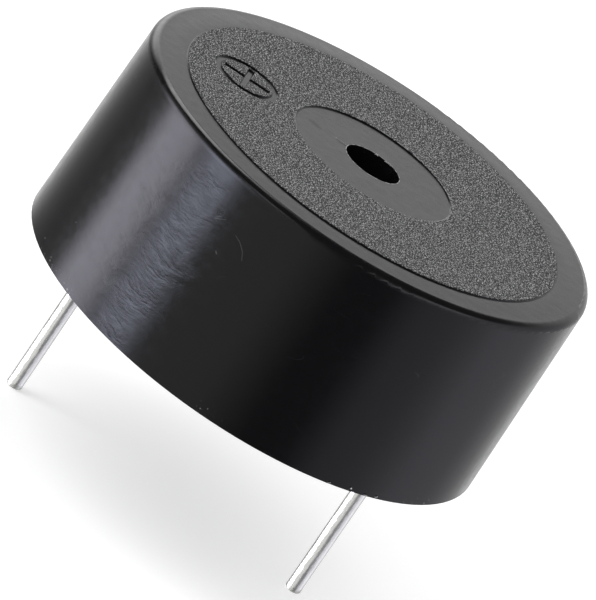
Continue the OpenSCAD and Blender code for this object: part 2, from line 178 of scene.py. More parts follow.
def oval(tree, place, centre, half_sizes):
    """Distance from centre, which is 1 on an oval with these half sizes."""
    moved = node(tree, "VectorMath", {0: place, 1: centre}, operation="SUBTRACT").outputs[0]
    return length(tree, squeezed(tree, moved, *(1 / half for half in half_sizes)))


print("noise helpers are ready")

# %% [markdown]
# Two more helpers mix colours and shape the surface. A bump tilts the light a surface
# gives back without moving the surface, which suits relief much finer than a pixel.
# Bumps are laid one on another, from the broadest to the finest.

# %% Colour and relief
def blend(tree, factor, first, second):
    """The first colour where factor is 0 and the second where it is 1."""
    return node(tree, "Mix", {0: factor, 6: first, 7: second}, data_type="RGBA").outputs[2]


def bump(tree, height, depth, below=None):
    """Raises the surface by depth, in mm, where height is 1, on top of the bump below."""
    inputs = {"Height": height, "Distance": depth * MM, "Strength": 1.0}
    if below is not None:
        inputs["Normal"] = below
    return node(tree, "Bump", inputs).outputs[0]


print("colour and relief helpers are ready")

# %% [markdown]
# A material starts from the Principled shader, which needs what real surfaces have: a
# colour, how rough it is, and whether it is metal. What is the same all over is set on
# the shader itself, and only what changes from place to place is linked to it. The
# place comes from Object coordinates, turned into millimetres, because then a pattern
# keeps its real size and can be drawn at a known spot.

# %% Start a material
def new_finish(name, **uniform):
    """A material, its node tree and shader, and the place of a point in millimetres."""
    material = bpy.data.materials.new(name)
    material.use_nodes = True
    tree = material.node_tree
    shader = tree.nodes["Principled BSDF"]
    for key, value in uniform.items():
        shader.inputs[key.replace("_", " ")].default_value = value
    where = node(tree, "TexCoord", {}).outputs["Object"]
    place = node(tree, "VectorMath", {0: where, "Scale": 1 / MM}, operation="SCALE").outputs[0]
    return material, tree, shader, place


def feed(tree, shader, **linked):
    """Links outputs to the inputs of the shader."""
    for key, value in linked.items():
        tree.links.new(value, shader.inputs[key.replace("_", " ")])


def dress(material, *names):
    """Puts a material on pieces of the CAD model."""
    for name in names:
        nodes[name].material_slots[0].material = material
    print(material.name, "on", ", ".join(names))


# %% [markdown]
# ## Moulded black plastic
# The housing is one black moulding with surfaces that the mould gave it. The wall, the
# border and the disc round the hole come from polished steel and are satin. The raised
# band comes from steel that was eroded by sparks, which leaves a crisp, even grain.
# Height tells them apart: only the grained band reaches the full height, and the ring
# and cross of the polarity mark are cut through it, down to the smooth level. The grain
# starts three quarters of the way up the edges of the band. The wall leans in from its
# foot to its top, where a small rounding leads over to the border.

# %% Measure the housing
housing_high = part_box("housing")[1] / MM
wall_foot_r = housing_high.x
wall_high_r = 11.811
wall_top_z = 9.9
top_z = 10.3
grain_z = top_z + (housing_high.z - top_z) * 3 / 4
border_r = 10.0
border_w = 1.8
print("housing, mm: radius", round(wall_foot_r, 2), "band at", round(housing_high.z, 2))

# %% [markdown]
# The grain is noise a little under a tenth of a millimetre across. It tilts the light.
# Its tips are drawn greyer than the hollows between them, a painted sheen for the light
# the grain scatters, and a few near-white specks among them are painted glints.


# %% Grain of the band
grain_size = 0.072


def band_grain(tree, place, z):
    """Where the band is, how high its grain is, its painted tip sheen and painted glints."""
    banded = step(tree, z, grain_z - 0.01, grain_z + 0.005)
    grain = noise(tree, place, grain_size, 1.0)
    # Painted sheen: the tips of the grain are drawn grey, for the light the grain scatters.
    painted_tip_sheen = both(tree, banded, step(tree, grain, 0.53, 0.67))
    # Painted glints: a few near-white specks among the grain.
    painted_glints = both(tree, banded, specks(tree, place, 0.5, 0.09, 0.12))
    return banded, both(tree, banded, grain), painted_tip_sheen, painted_glints


print("grain of the band, mm:", grain_size)

# %% [markdown]
# The wall was handled in bulk with other parts. That left soft strokes that run round
# it, faint hairlines, dust, and light nicks along the lower rim, where flash was
# trimmed off. The strokes come from noise that is squeezed in height, so they stay long
# round the wall. Broader patches deepen them where the wall rubbed against another
# part. A slow noise lifts the place before it is squeezed, so that the strokes wander
# instead of running side by side, and they fade out below the rounded edge. The
# hairlines are the thin lines where another noise passes its middle.


# %% Wear of the wall
scuffed_at = (-115, 5)
scuffed_size = (4, 4, 8)
stroke_wander = 0.8
patch_depth = 2.0


def on_wall(azimuth, z):
    """A place on the leaning wall, in millimetres, from its azimuth in degrees."""
    radius = wall_foot_r + (wall_high_r - wall_foot_r) * z / top_z
    angle = math.radians(azimuth)
    return Vector((radius * math.cos(angle), radius * math.sin(angle), z))


def centred(tree, value):
    """Noise moved to lie round 0, so that it neither raises nor lowers the surface."""
    return calc(tree, "SUBTRACT", value, 0.5)


def wall_strokes(tree, place):
    """Height of the strokes round the wall, which are deepest in the scuffed oval."""
    scuffed = step(tree, oval(tree, place, on_wall(*scuffed_at), scuffed_size),
                   0.5, 1.0, 1.0, 0.0)
    cloud = noise(tree, place, 1.5, 3.0)
    strength = both(tree, step(tree, cloud, 0.35, 0.62, 0.3, 1.0),
                    step(tree, scuffed, 0, 1, 0.5, 1.0))
    lifted = node(tree, "VectorMath", {
        0: noise(tree, place, 1.6, 2.0), 1: (0, 0, stroke_wander), 2: place,
    }, operation="MULTIPLY_ADD").outputs[0]
    fine = noise(tree, squeezed(tree, lifted, 1, 1, 5), 0.7, 4.0, 0.7)
    broad = noise(tree, squeezed(tree, lifted, 1, 1, 1.6), 0.9, 2.0)
    patches = both(tree, scuffed, centred(tree, broad), patch_depth)
    return both(tree, strength, calc(tree, "ADD", centred(tree, fine), patches))


def wall_hairlines(tree, place):
    """1 on the hairlines, which show in some places only."""
    drift = noise(tree, squeezed(tree, place, 1, 1, 2.5), 5.0, 1.0)
    line = step(tree, calc(tree, "ABSOLUTE", centred(tree, drift)), 0.0006, 0.0016, 1.0, 0.0)
    return both(tree, line, step(tree, noise(tree, place, 1.7), 0.56, 0.62))


def rim_nicks(tree, place, z):
    """1 on the nicks, which come in groups along the lower rim."""
    rim = step(tree, z, 0.05, 0.75, 1.0, 0.0)
    chips = step(tree, noise(tree, place, 0.16, 2.0, 0.7), 0.64, 0.70)
    return both(tree, rim, chips, step(tree, noise(tree, place, 3.0), 0.54, 0.62))


print("the scuffs lie round azimuth", scuffed_at[0], "degrees, height", scuffed_at[1], "mm")

# %% [markdown]
# The few scratches and specks that catch the eye are drawn one by one. Each runs between
# two places on the wall, given by azimuth and height, and has its own width. A point
# lies on a scratch when it is near the closest point of that line.


# %% Single scratches
def scratch(tree, place, start, end, width):
    """1 on a straight scratch from start to end, fading to its sides."""
    run = end - start
    from_start = node(tree, "VectorMath", {0: place, 1: start}, operation="SUBTRACT").outputs[0]
    along = node(tree, "VectorMath", {0: from_start, 1: run / run.length_squared},
                 operation="DOT_PRODUCT").outputs["Value"]
    kept = node(tree, "Clamp", {"Value": along}).outputs[0]
    nearest = node(tree, "VectorMath", {0: run, "Scale": kept}, operation="SCALE").outputs[0]
    gap = node(tree, "VectorMath", {0: from_start, 1: nearest}, operation="DISTANCE")
    return step(tree, gap.outputs["Value"], width * 0.3, width, 1.0, 0.0)


# Start and end, each as azimuth in degrees and height in mm, and the width in mm.
SCRATCHES = [
    ((-100.9, 7.85), (-99.2, 7.72), 0.024),
    ((-99.2, 7.72), (-97.6, 7.46), 0.026),
    ((-97.6, 7.46), (-96.6, 7.10), 0.024),
    ((-107.3, 7.80), (-104.8, 8.12), 0.02),
    ((-102.6, 6.66), (-102.2, 6.60), 0.05),
    ((-145.6, 0.50), (-145.2, 0.54), 0.06),
    ((-139.1, 0.32), (-138.7, 0.36), 0.06),
    ((-137.2, 0.18), (-136.8, 0.20), 0.05),
]


def scratches(tree, place):
    """1 on every scratch and speck of the list."""
    drawn = [scratch(tree, place, on_wall(*start), on_wall(*end), width)
             for start, end, width in SCRATCHES]
    found = drawn[0]
    for one in drawn[1:]:
        found = calc(tree, "MAXIMUM", found, one)
    return found


print("the wall has", len(SCRATCHES), "single scratches and specks")

# %% [markdown]
# Two small marks lie on the smooth disc: the pip that the gate left beside the hole,
# where the plastic entered the mould, and a smudge between the pip and the band. The
# edges of the hole and of the disc are rubbed here and there. The border falls away
# slightly towards its edge, because the wall shrank as it cooled.


# %% Marks and shrinkage of the top
hole_r = 1.425
disc_r = 4.15
gate_at = (-1.78, -0.07, top_z)
gate_size = (0.36, 0.15, 1)
smudge_at = (-3.2, -0.2, top_z)
smudge_size = (0.55, 0.3, 1)


def top_marks(tree, place):
    """Height of the pip, where the smudge is, the border's fall and the rubbed edges."""
    _, y, z = node(tree, "SeparateXYZ", {0: place}).outputs
    radius = axis_distance(tree, place)
    pip = step(tree, oval(tree, place, gate_at, gate_size), 0.6, 1.0, 1.0, 0.0)
    smudge = both(tree, noise(tree, squeezed(tree, place, 1, 2.5, 1), 0.4),
                  step(tree, oval(tree, place, smudge_at, smudge_size), 0.3, 1.0, 1.0, 0.0))
    tilt = calc(tree, "ADD", 1.0, calc(tree, "MULTIPLY", y, 0.04))
    fall = step(tree, radius, border_r, border_r + border_w)
    hole_rub = band(tree, radius, hole_r, hole_r + 0.035, 0.01)
    disc_rub = band(tree, radius, disc_r + 0.06, disc_r + 0.1, 0.015)
    rubbed = both(tree, step(tree, z, top_z - 0.02, top_z - 0.01),
                  calc(tree, "MAXIMUM", hole_rub, disc_rub),
                  step(tree, noise(tree, place, 0.25, 2.0), 0.4, 0.6))
    return pip, smudge, both(tree, fall, tilt), rubbed


print("the disc reaches", disc_r, "mm from the axis, the hole", hole_r, "mm")

# %% [markdown]
# Now all of this is laid on one material. The relief goes from broad to fine: the fall
# of the border, slow waves of shrinkage, a faint skin on the flat top, the strokes, the
# pip and the grain. Colour starts at a deep black and gets one mark after another. The
# plastic is rougher along the strokes, on the flat top, in the hollows of the grain, and
# where it was touched: under the smudge and on the rounded edge.


# %% Put the black plastic together
def moulded_plastic():
    material, tree, shader, place = new_finish("moulded_plastic", IOR=1.37)
    z = node(tree, "SeparateXYZ", {0: place}).outputs["Z"]
    banded, grain, painted_tip_sheen, painted_glints = band_grain(tree, place, z)
    wall = step(tree, z, wall_top_z - 0.9, wall_top_z - 0.1, 1.0, 0.0)
    strokes = both(tree, wall, wall_strokes(tree, place))
    hairlines = both(tree, wall, wall_hairlines(tree, place))
    pip, smudge, fall, rubbed = top_marks(tree, place)
    dust = specks(tree, place, 0.9, 0.09, 0.12)

    surface = bump(tree, fall, -0.06)
    surface = bump(tree, noise(tree, place, 4.0, 1.0), 0.008, surface)
    top_skin = both(tree, step(tree, z, top_z - 0.04, top_z), noise(tree, place, 0.6, 3.0))
    surface = bump(tree, top_skin, 0.008, surface)
    surface = bump(tree, strokes, 0.011, surface)
    surface = bump(tree, pip, 0.015, surface)
    surface = bump(tree, grain, 0.12, surface)

    # Painted sheen: grey on the tips of the grain.
    colour = blend(tree, painted_tip_sheen, (0.003, 0.003, 0.0032, 1), (0.46, 0.46, 0.46, 1))
    colour = blend(tree, hairlines, colour, (0.014, 0.014, 0.015, 1))
    colour = blend(tree, scratches(tree, place), colour, (0.05, 0.05, 0.05, 1))
    colour = blend(tree, dust, colour, (0.09, 0.09, 0.09, 1))
    colour = blend(tree, rim_nicks(tree, place, z), colour, (0.30, 0.30, 0.30, 1))
    # Painted glints: near-white specks on the band.
    colour = blend(tree, painted_glints, colour, (0.8, 0.8, 0.8, 1))
    colour = blend(tree, rubbed, colour, (0.32, 0.32, 0.32, 1))

    roughness = step(tree, noise(tree, place, 0.5, 3.0), 0.3, 0.7, 0.145, 0.21)
    hollows = both(tree, banded, step(tree, grain, 0.35, 0.58, 0.50, 0.18))
    edge_rub = band(tree, z, wall_top_z, top_z - 0.12, 0.08)
    for rougher in (
        calc(tree, "MULTIPLY", strokes, 0.22),
        step(tree, z, wall_top_z + 0.3, top_z, 0.0, 0.05),
        hollows,
        calc(tree, "MULTIPLY", smudge, 0.3),
        calc(tree, "MULTIPLY", edge_rub, 0.07),
    ):
        roughness = calc(tree, "ADD", roughness, rougher)
    feed(tree, shader, Base_Color=colour, Roughness=roughness, Normal=surface)
    return material


dress(moulded_plastic(), "housing")

# %% [markdown]
# ## Tinned wire
# The pins are wire with a thin coat of tin that froze while it ran, so their shine is
# broken by soft waves along the wire. The coat is partly matt, so it isn't set to full
# metal. The ends were cropped and are bare. Their last half millimetre is drawn dull,
# darker and slightly yellow: in part the bare metal, in part painted shade at the tip.
# The transistor's leads have the same coat.

# %% Tin
pin_tip_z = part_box("positive_pin")[0].z / MM


def tinned_wire():
    material, tree, shader, place = new_finish("tinned_wire", Metallic=0.75)
    z = node(tree, "SeparateXYZ", {0: place}).outputs["Z"]
    ragged = calc(tree, "ADD", z, calc(tree, "MULTIPLY", noise(tree, place, 0.2), 0.5))
    # The last half millimetre of the pin, with a ragged edge: bare metal and painted shade.
    bare_and_shaded_tip = step(tree, ragged, pin_tip_z + 0.35, pin_tip_z + 0.6, 1.0, 0.0)
    waves = noise(tree, squeezed(tree, place, 1, 1, 0.4), 0.2, 2.0)
    pores = noise(tree, place, 0.05, 1.0)
    surface = bump(tree, pores, 0.002, bump(tree, waves, 0.02))
    # The tip colour is dull, darker and yellowish: in part bare metal, in part painted shade.
    colour = blend(tree, bare_and_shaded_tip, (0.95, 0.95, 0.91, 1), (0.55, 0.56, 0.50, 1))
    cloudy = step(tree, noise(tree, place, 0.4), 0.3, 0.7, 0.1, 0.2)
    roughness = calc(tree, "ADD", cloudy, calc(tree, "MULTIPLY", bare_and_shaded_tip, 0.25))
    feed(tree, shader, Base_Color=colour, Roughness=roughness, Normal=surface)
    return material


dress(tinned_wire(), "positive_pin", "negative_pin", "transistor_leads")

# %% [markdown]
# ## Poured resin
# The open end is sealed with black resin, poured in and left to set. It levels itself,
# so it is glossier than the moulding but never quite flat: slow waves, pinholes where
# air came out, and dust that settled before it hardened.


# %% Resin
def poured_resin():
    material, tree, shader, place = new_finish("poured_resin", IOR=1.55)
    cloud = noise(tree, place, 1.5, 4.0, 0.6)
    pinholes = specks(tree, place, 2.2, 0.28, 0.35)
    dust = specks(tree, place, 0.8, 0.07, 0.15)
    surface = bump(tree, noise(tree, place, 5.0, 1.0), 0.06)
    surface = bump(tree, pinholes, -0.08, surface)
    colour = blend(tree, cloud, (0.007, 0.007, 0.008, 1), (0.02, 0.019, 0.018, 1))
    colour = blend(tree, dust, colour, (0.12, 0.12, 0.11, 1))
    roughness = step(tree, cloud, 0.35, 0.65, 0.14, 0.28)
    feed(tree, shader, Base_Color=colour, Roughness=roughness, Normal=surface)
    return material


dress(poured_resin(), "back_seal")

# %% [markdown]
# ## Diaphragm
# The sound comes from a thin brass plate with a ceramic disc bonded under it. Brass
# sheet is rolled, so fine lines run one way across it, and it tarnishes in soft clouds.
# Space is squeezed along the lines, which stretches the noise into them.


# %% Brass
def rolled_brass():
    material, tree, shader, place = new_finish("rolled_brass", Metallic=1.0)
    lines = noise(tree, squeezed(tree, place, 0.04, 1, 1), 0.06, 2.0)
    tarnish = step(tree, noise(tree, place, 2.5, 4.0, 0.6), 0.42, 0.72)
    colour = blend(tree, tarnish, (0.82, 0.60, 0.28, 1), (0.55, 0.36, 0.16, 1))
    roughness = calc(tree, "ADD", step(tree, lines, 0.3, 0.7, 0.18, 0.30),
                     calc(tree, "MULTIPLY", tarnish, 0.15))
    feed(tree, shader, Base_Color=colour, Roughness=roughness, Normal=bump(tree, lines, 0.002))
    return material


dress(rolled_brass(), "diaphragm_plate")

# %% [markdown]
# The ceramic is pressed powder, fired hard: cream, dull and finely speckled. Its silver
# is paste that was printed through a mesh and fired, so it is a matt white metal that
# keeps the marks of the mesh. Two crossed sine waves draw them, at the pitch of the mesh.


# %% Ceramic and silver
def fired_ceramic():
    material, tree, shader, place = new_finish("fired_ceramic", IOR=1.6)
    grains = noise(tree, place, 0.06, 3.0, 0.7)
    cloud = noise(tree, place, 1.8, 3.0)
    colour = blend(tree, cloud, (0.60, 0.55, 0.44, 1), (0.70, 0.66, 0.55, 1))
    colour = blend(tree, specks(tree, place, 0.5, 0.08, 0.3), colour, (0.36, 0.31, 0.24, 1))
    roughness = step(tree, grains, 0.3, 0.7, 0.48, 0.66)
    feed(tree, shader, Base_Color=colour, Roughness=roughness, Normal=bump(tree, grains, 0.004))
    return material


mesh_pitch = 0.12


def fired_silver():
    material, tree, shader, place = new_finish("fired_silver", Metallic=1.0)
    x, y, _ = node(tree, "SeparateXYZ", {0: place}).outputs
    waves = [calc(tree, "SINE", calc(tree, "MULTIPLY", way, 2 * math.pi / mesh_pitch))
             for way in (x, y)]
    marks = both(tree, *waves)
    cloud = noise(tree, place, 1.2, 4.0, 0.6)
    surface = bump(tree, marks, 0.002, bump(tree, noise(tree, place, 0.07), 0.003))
    colour = blend(tree, cloud, (0.90, 0.89, 0.86, 1), (0.78, 0.76, 0.70, 1))
    roughness = step(tree, cloud, 0.3, 0.7, 0.36, 0.50)
    feed(tree, shader, Base_Color=colour, Roughness=roughness, Normal=surface)
    return material


dress(fired_ceramic(), "piezo_disc")
dress(fired_silver(), "main_electrode", "feedback_electrode")

# %% [markdown]
# ## Silicone, solder and wire
# A bead of silicone holds the edge of the plate. It is milky, so light goes a little way
# into it, and it lies in the soft waves of a bead laid by a needle. Solder froze from
# the melt: bright but frosty, with amber flux left in patches.


# %% Silicone and solder
def laid_silicone():
    material, tree, shader, place = new_finish(
        "laid_silicone", IOR=1.41, Subsurface_Weight=0.3, Subsurface_Scale=0.0006)
    waves = noise(tree, place, 0.9, 2.0)
    colour = blend(tree, waves, (0.70, 0.70, 0.67, 1), (0.82, 0.82, 0.79, 1))
    colour = blend(tree, specks(tree, place, 0.9, 0.12, 0.25), colour, (0.5, 0.5, 0.48, 1))
    roughness = step(tree, waves, 0.3, 0.7, 0.28, 0.42)
    feed(tree, shader, Base_Color=colour, Roughness=roughness, Normal=bump(tree, waves, 0.06))
    return material


def frozen_solder():
    material, tree, shader, place = new_finish("frozen_solder", Metallic=1.0)
    frost = noise(tree, place, 0.09, 3.0, 0.6)
    flux = step(tree, noise(tree, place, 0.6, 3.0), 0.56, 0.66)
    colour = blend(tree, frost, (0.84, 0.84, 0.84, 1), (0.70, 0.70, 0.69, 1))
    colour = blend(tree, flux, colour, (0.62, 0.47, 0.24, 1))
    roughness = step(tree, frost, 0.35, 0.65, 0.16, 0.38)
    feed(tree, shader, Base_Color=colour, Roughness=roughness, Normal=bump(tree, frost, 0.012))
    return material


dress(laid_silicone(), "silicone_bead")
dress(frozen_solder(), "diaphragm_solder", "component_solder", "wire_solder", "pin_solder")

# %% [markdown]
# Three thin wires carry the signal, each in its own colour so that they can't be mixed
# up. Their plastic is extruded, which leaves a faint unevenness and a satin shine, and
# handling greys it a little. One function makes all three, from the colour of each.


# %% Wires
def wire_plastic(name, colour):
    material, tree, shader, place = new_finish(name, IOR=1.5)
    uneven = noise(tree, place, 0.25, 3.0)
    handled = step(tree, noise(tree, place, 0.7, 3.0), 0.5, 0.8, 0.0, 0.35)
    dulled = tuple(0.8 * part + 0.03 for part in colour[:3]) + (1,)
    finish = blend(tree, handled, colour, dulled)
    roughness = step(tree, uneven, 0.3, 0.7, 0.32, 0.46)
    feed(tree, shader, Base_Color=finish, Roughness=roughness, Normal=bump(tree, uneven, 0.012))
    return material


dress(wire_plastic("black_wire_plastic", (0.02, 0.02, 0.022, 1)), "plate_wire")
dress(wire_plastic("red_wire_plastic", (0.52, 0.025, 0.02, 1)), "main_wire")
dress(wire_plastic("blue_wire_plastic", (0.02, 0.10, 0.42, 1)), "feedback_wire")

# %% [markdown]
# ## Circuit board
# The board is paper soaked in resin and pressed. Fibres show as short streaks in its tan
# face, and its edge is paler where the punch broke it. The copper was etched to the
# tracks and left bare, so it has browned unevenly.

# %% Board and copper
board_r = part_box("circuit_board")[1].x / MM
punched_w = 0.12


def paper_laminate():
    material, tree, shader, place = new_finish("paper_laminate", IOR=1.5)
    fibres = noise(tree, squeezed(tree, place, 1, 0.3, 1), 0.14, 3.0, 0.65)
    punched = step(tree, axis_distance(tree, place), board_r - punched_w, board_r - 0.02)
    colour = blend(tree, fibres, (0.30, 0.17, 0.065, 1), (0.50, 0.33, 0.16, 1))
    colour = blend(tree, both(tree, punched, fibres), colour, (0.72, 0.60, 0.42, 1))
    roughness = step(tree, fibres, 0.3, 0.7, 0.34, 0.52)
    feed(tree, shader, Base_Color=colour, Roughness=roughness, Normal=bump(tree, fibres, 0.01))
    return material


def etched_copper():
    material, tree, shader, place = new_finish("etched_copper", Metallic=1.0)
    brown = step(tree, noise(tree, place, 1.1, 4.0, 0.6), 0.42, 0.7)
    etched = noise(tree, place, 0.05, 2.0)
    colour = blend(tree, brown, (0.88, 0.48, 0.30, 1), (0.52, 0.24, 0.12, 1))
    roughness = step(tree, brown, 0.0, 1.0, 0.24, 0.42)
    feed(tree, shader, Base_Color=colour, Roughness=roughness, Normal=bump(tree, etched, 0.004))
    return material


dress(paper_laminate(), "circuit_board")
dress(etched_copper(), "board_tracks")

# %% [markdown]
# ## Components
# The transistor is moulded in black epoxy, full of fine sand, so it is matt and slightly
# grey. The chip parts are fired ceramic with metal ends. Resistors carry a black glaze on
# a white body, and the capacitor is tan right through. Each chip's own box tells where
# its metal ends start and where its glaze lies.


# %% Transistor and chips
def filled_epoxy():
    material, tree, shader, place = new_finish("filled_epoxy", IOR=1.55)
    sand = noise(tree, place, 0.05, 2.0, 0.7)
    colour = blend(tree, sand, (0.014, 0.014, 0.015, 1), (0.034, 0.034, 0.033, 1))
    colour = blend(tree, specks(tree, place, 0.35, 0.05, 0.3), colour, (0.10, 0.10, 0.10, 1))
    roughness = step(tree, sand, 0.3, 0.7, 0.42, 0.60)
    feed(tree, shader, Base_Color=colour, Roughness=roughness, Normal=bump(tree, sand, 0.008))
    return material


chip_end = 0.4
glaze_t = 0.045


def chip_ceramic(name, piece, body, top):
    """A fired chip: metal ends along X, body at the sides, and top on the upper face."""
    material, tree, shader, place = new_finish(name, IOR=1.6)
    low, high = (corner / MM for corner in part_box(piece))
    middle = (low.x + high.x) / 2
    x, _, z = node(tree, "SeparateXYZ", {0: place}).outputs
    from_middle = calc(tree, "ABSOLUTE", calc(tree, "SUBTRACT", x, middle))
    end_start = (high.x - low.x) / 2 - chip_end
    metal = step(tree, from_middle, end_start - 0.01, end_start + 0.01)
    grains = noise(tree, place, 0.07, 3.0, 0.6)
    upper = step(tree, z, high.z - glaze_t - 0.015, high.z - glaze_t)
    colour = blend(tree, upper, body, top)
    colour = blend(tree, calc(tree, "MULTIPLY", grains, 0.2), colour, (0.4, 0.38, 0.35, 1))
    colour = blend(tree, metal, colour, (0.82, 0.82, 0.81, 1))
    roughness = step(tree, grains, 0.3, 0.7, 0.24, 0.42)
    feed(tree, shader, Base_Color=colour, Metallic=metal, Roughness=roughness,
         Normal=bump(tree, grains, 0.008))
    return material


dress(filled_epoxy(), "transistor_body")
for resistor in ("bias_resistor", "feedback_resistor", "limit_resistor"):
    glazed = chip_ceramic("glazed_" + resistor, resistor,
                          (0.74, 0.73, 0.69, 1), (0.012, 0.012, 0.013, 1))
    dress(glazed, resistor)
tan_ceramic = (0.42, 0.28, 0.16, 1)
dress(chip_ceramic("tan_ceramic", "supply_capacitor", tan_ceramic, tan_ceramic),
      "supply_capacitor")

# %% [markdown]
# ## Choke coil
# The core is ferrite, ground from a fired block: dark grey with open pores. The coil is
# copper wire in a clear amber enamel. One solid stands for all its turns, and a bump
# gives each turn its round back. The turns climb round the core, so the wave that
# shapes them follows the height together with the angle.


# %% Ferrite and enamelled copper
def ground_ferrite():
    material, tree, shader, place = new_finish("ground_ferrite", IOR=1.8)
    grains = noise(tree, place, 0.12, 4.0, 0.65)
    pores = specks(tree, place, 0.22, 0.07, 0.4)
    surface = bump(tree, pores, -0.02, bump(tree, grains, 0.01))
    colour = blend(tree, grains, (0.028, 0.027, 0.029, 1), (0.07, 0.068, 0.07, 1))
    # Painted shade: the pores are drawn darker than the ferrite round them.
    colour = blend(tree, pores, colour, (0.012, 0.012, 0.012, 1))
    roughness = step(tree, grains, 0.3, 0.7, 0.40, 0.62)
    feed(tree, shader, Base_Color=colour, Roughness=roughness, Normal=surface)
    return material


turn_pitch = 0.3


def enamelled_copper(name, wound=False):
    material, tree, shader, place = new_finish(
        name, Metallic=1.0, Coat_Weight=0.6, Coat_Roughness=0.12)
    cloud = noise(tree, place, 0.3, 3.0)
    surface = bump(tree, cloud, 0.01)
    if wound:
        low, high = (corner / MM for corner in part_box("coil_winding"))
        x, y, z = node(tree, "SeparateXYZ", {0: place}).outputs
        angle = calc(tree, "ARCTAN2", calc(tree, "SUBTRACT", y, (low.y + high.y) / 2),
                     calc(tree, "SUBTRACT", x, (low.x + high.x) / 2))
        climbed = calc(tree, "MULTIPLY", z, 2 * math.pi / turn_pitch)
        phase = calc(tree, "ADD", climbed, angle)
        turns = calc(tree, "ABSOLUTE", calc(tree, "SINE", calc(tree, "DIVIDE", phase, 2.0)))
        surface = bump(tree, turns, 0.09, surface)
    colour = blend(tree, cloud, (0.72, 0.28, 0.11, 1), (0.60, 0.20, 0.07, 1))
    roughness = step(tree, cloud, 0.3, 0.7, 0.22, 0.34)
    feed(tree, shader, Base_Color=colour, Roughness=roughness, Normal=surface)
    return material


dress(ground_ferrite(), "coil_core")
dress(enamelled_copper("wound_copper", wound=True), "coil_winding")
dress(enamelled_copper("enamelled_lead"), "coil_leads")

# %% [markdown]
# ## Torn flash
# Where two halves of a mould meet, a film of plastic creeps between them. Trimming tears
# it off and leaves flakes: three in the far edge of the sound hole, and four along the
# lower rim. A flake starts as a small grid. Each row is narrowed and shifted a little
# against the last, then turned, which curls it, and solidify gives it thickness.


# %% Make one flake
flake_rows = 4
flake_t = 0.012


def add_flake(mesh, foot, heading, lean, reach, width):
    """Adds a curled flake that starts at foot and leans up from the heading, in degrees."""
    grid = bmesh.ops.create_grid(mesh, x_segments=2, y_segments=flake_rows, size=0.5)["verts"]
    bmesh.ops.scale(mesh, verts=grid, vec=(width, reach, 1))
    bmesh.ops.translate(mesh, verts=grid, vec=(0, reach / 2, 0))
    row_h = reach / flake_rows

    def beyond(row):
        return [vert for vert in grid if vert.co.y > row_h * (row + 0.5)]

    for row in range(1, flake_rows):
        shift = width * random.uniform(-0.1, 0.1)
        bmesh.ops.scale(mesh, verts=beyond(row), vec=(0.8, 1, 1))
        bmesh.ops.translate(mesh, verts=beyond(row), vec=(shift, 0, 0))
    for row in range(flake_rows - 1, 0, -1):
        curl = Matrix.Rotation(math.radians(random.uniform(8, 22)), 3, "X")
        bmesh.ops.rotate(mesh, verts=beyond(row), cent=(0, row_h * row, 0), matrix=curl)
    faces = list({face for vert in grid for face in vert.link_faces})
    thick = bmesh.ops.solidify(mesh, geom=faces, thickness=flake_t)["geom"]
    verts = {item for item in thick if isinstance(item, bmesh.types.BMVert)} | set(grid)
    turn = Matrix.Rotation(math.radians(heading - 90), 4, "Z")
    raise_up = Matrix.Rotation(math.radians(lean), 4, "X")
    bmesh.ops.transform(mesh, verts=list(verts),
                        matrix=Matrix.Translation(foot) @ turn @ raise_up)


print("a flake is", flake_t, "mm thick")

# %% [markdown]
# Flakes catch the light because they are thin and torn: stress whitens black plastic
# where it breaks. Their finish is a light grey with darker, less torn patches. The
# flakes of one place are made as one piece, which rides with the housing; they are the
# same plastic.


# %% Torn plastic
def torn_plastic():
    material, tree, shader, place = new_finish("torn_plastic", IOR=1.45)
    torn = noise(tree, place, 0.05, 2.0)
    colour = blend(tree, torn, (0.40, 0.40, 0.40, 1), (0.92, 0.92, 0.92, 1))
    roughness = step(tree, torn, 0.3, 0.7, 0.5, 0.8)
    feed(tree, shader, Base_Color=colour, Roughness=roughness, Normal=bump(tree, torn, 0.01))
    return material


torn_finish = torn_plastic()


def in_fixed_order(mesh):
    """The corners and faces, sorted because solidify lists new faces in any order."""
    mesh.verts.index_update()
    faces = [[vert.index for vert in face.verts] for face in mesh.faces]
    return [vert.co.copy() for vert in mesh.verts], [], sorted(faces, key=sorted)


def add_burrs(name, flakes):
    """Makes one piece of flakes: (azimuth, radius, z, heading, lean, reach, width)."""
    mesh = bmesh.new()
    for azimuth, radius, z, heading, lean, reach, width in flakes:
        angle = math.radians(azimuth)
        foot = Vector((radius * math.cos(angle), radius * math.sin(angle), z))
        add_flake(mesh, foot, azimuth + heading, lean, reach, width)
    bmesh.ops.recalc_face_normals(mesh, faces=mesh.faces)
    bmesh.ops.scale(mesh, verts=mesh.verts, vec=(MM, MM, MM))
    piece = bpy.data.objects.new(name, bpy.data.meshes.new(name))
    piece.data.from_pydata(*in_fixed_order(mesh))
    mesh.free()
    bpy.context.scene.collection.objects.link(piece)
    piece.data.materials.append(torn_finish)
    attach(piece, "root")
    print(name, "has", len(piece.data.polygons), "faces")


print("torn plastic is ready")

# %% [markdown]
# The flakes of the hole lean inwards from its edge, just under the top. Those of the rim
# stand outwards and sideways along the lower edge, between the two pins. A fixed seed
# gives them the same curls each time, and sorting gives them the same list of faces.

